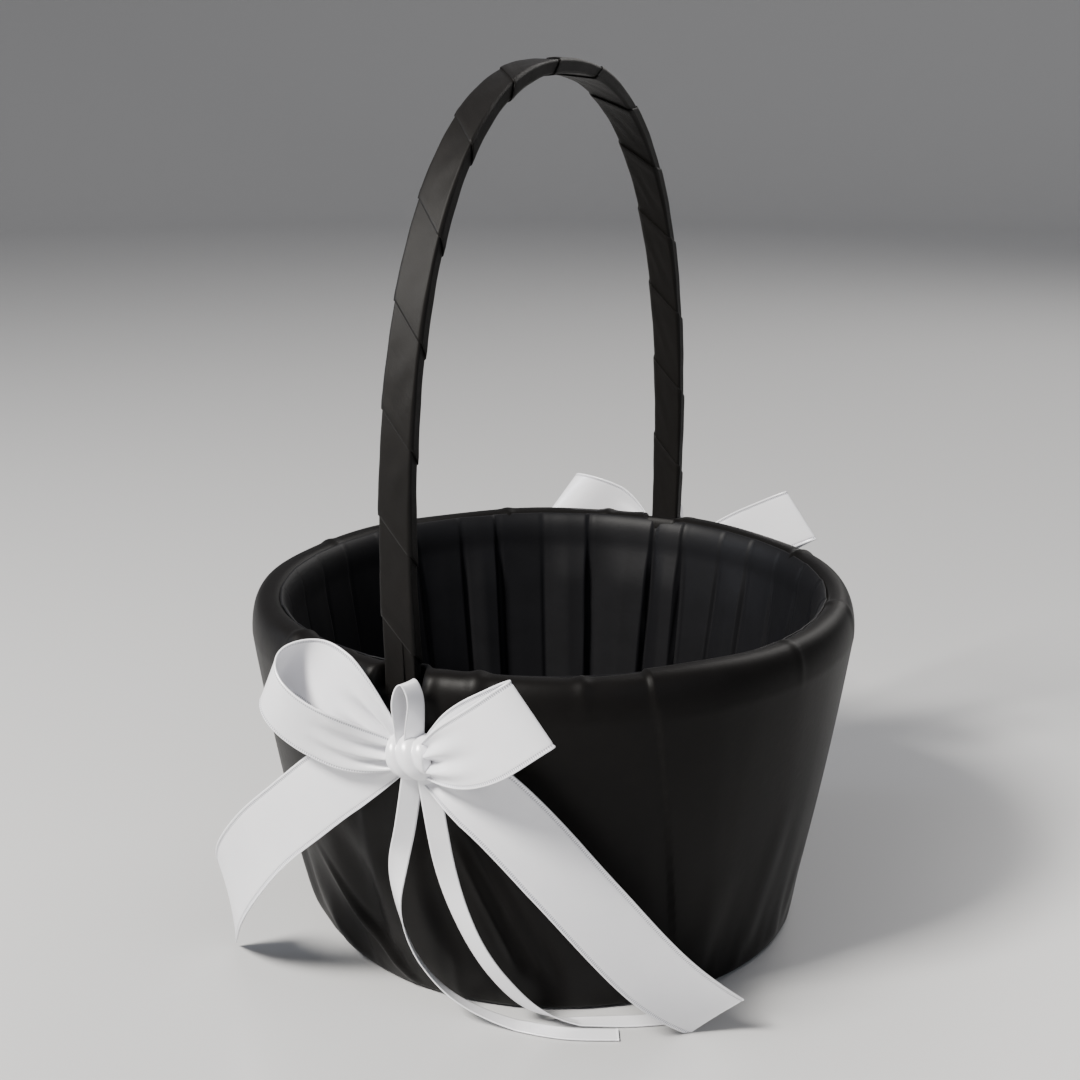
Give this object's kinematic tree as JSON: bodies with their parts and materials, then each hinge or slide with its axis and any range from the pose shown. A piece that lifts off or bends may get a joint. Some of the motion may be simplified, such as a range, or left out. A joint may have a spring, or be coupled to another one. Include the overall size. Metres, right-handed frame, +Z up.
{
  "type": "flower girl basket",
  "caption": "Round lined basket in black satin with a fixed arched handle wrapped in ribbon and a white satin bow at each foot of the handle.",
  "frame": {"origin": "centre of the base's underside, on the surface that the basket stands on", "axes": "+Z up through the handle's apex; the handle spans along Y; the front bow is on the -Y side and faces -Y; +X is to the right as seen from the front"},
  "size_m": [0.2044, 0.258, 0.2856],
  "materials": {
    "black_satin_cover": "matt-lustre black satin, soft highlights",
    "black_satin_lining": "black satin, gathered in upright pleats",
    "black_ribbon_wrap": "black satin ribbon wound round the handle",
    "wide_white_ribbon": "double-faced white satin with a ladder-stitched edge",
    "narrow_white_ribbon": "white satin, plain woven edge",
    "wood_splint": "raw sliced poplar splint",
    "fibre_board": "pressed fibre board, matt",
    "padding": "white polyester wadding",
    "steel_tack": "plain steel tacks"
  },
  "bodies": {
    "root": {"back_bow_knot": "wide_white_ribbon", "back_bow_left_loop": "wide_white_ribbon", "back_bow_left_tail": "wide_white_ribbon", "back_bow_right_loop": "wide_white_ribbon", "back_bow_right_tail": "wide_white_ribbon", "back_bow_thin_left_tail": "narrow_white_ribbon", "back_bow_thin_loop": "narrow_white_ribbon", "back_bow_thin_right_tail": "narrow_white_ribbon", "base_board": "fibre_board", "base_hoop": "wood_splint", "base_tacks": "steel_tack", "floor_board": "fibre_board", "floor_lining": "black_satin_lining", "front_bow_knot": "wide_white_ribbon", "front_bow_left_loop": "wide_white_ribbon", "front_bow_left_tail": "wide_white_ribbon", "front_bow_right_loop": "wide_white_ribbon", "front_bow_right_tail": "wide_white_ribbon", "front_bow_thin_left_tail": "narrow_white_ribbon", "front_bow_thin_loop": "narrow_white_ribbon", "front_bow_thin_right_tail": "narrow_white_ribbon", "handle_splint": "wood_splint", "handle_tacks": "steel_tack", "handle_wrap": "black_ribbon_wrap", "lining_wall": "black_satin_lining", "mid_hoop": "wood_splint", "outer_cover": "black_satin_cover", "rim_hoop_inner": "wood_splint", "rim_hoop_outer_left": "wood_splint", "rim_hoop_outer_right": "wood_splint", "stave_01": "wood_splint", "stave_02": "wood_splint", "stave_03": "wood_splint", "stave_04": "wood_splint", "stave_05": "wood_splint", "stave_06": "wood_splint", "stave_07": "wood_splint", "stave_08": "wood_splint", "stave_09": "wood_splint", "stave_10": "wood_splint", "stave_11": "wood_splint", "stave_12": "wood_splint", "stave_13": "wood_splint", "stave_14": "wood_splint", "stave_15": "wood_splint", "stave_16": "wood_splint", "underside_cover": "black_satin_cover", "wall_padding": "padding"}
  },
  "joints": []
}
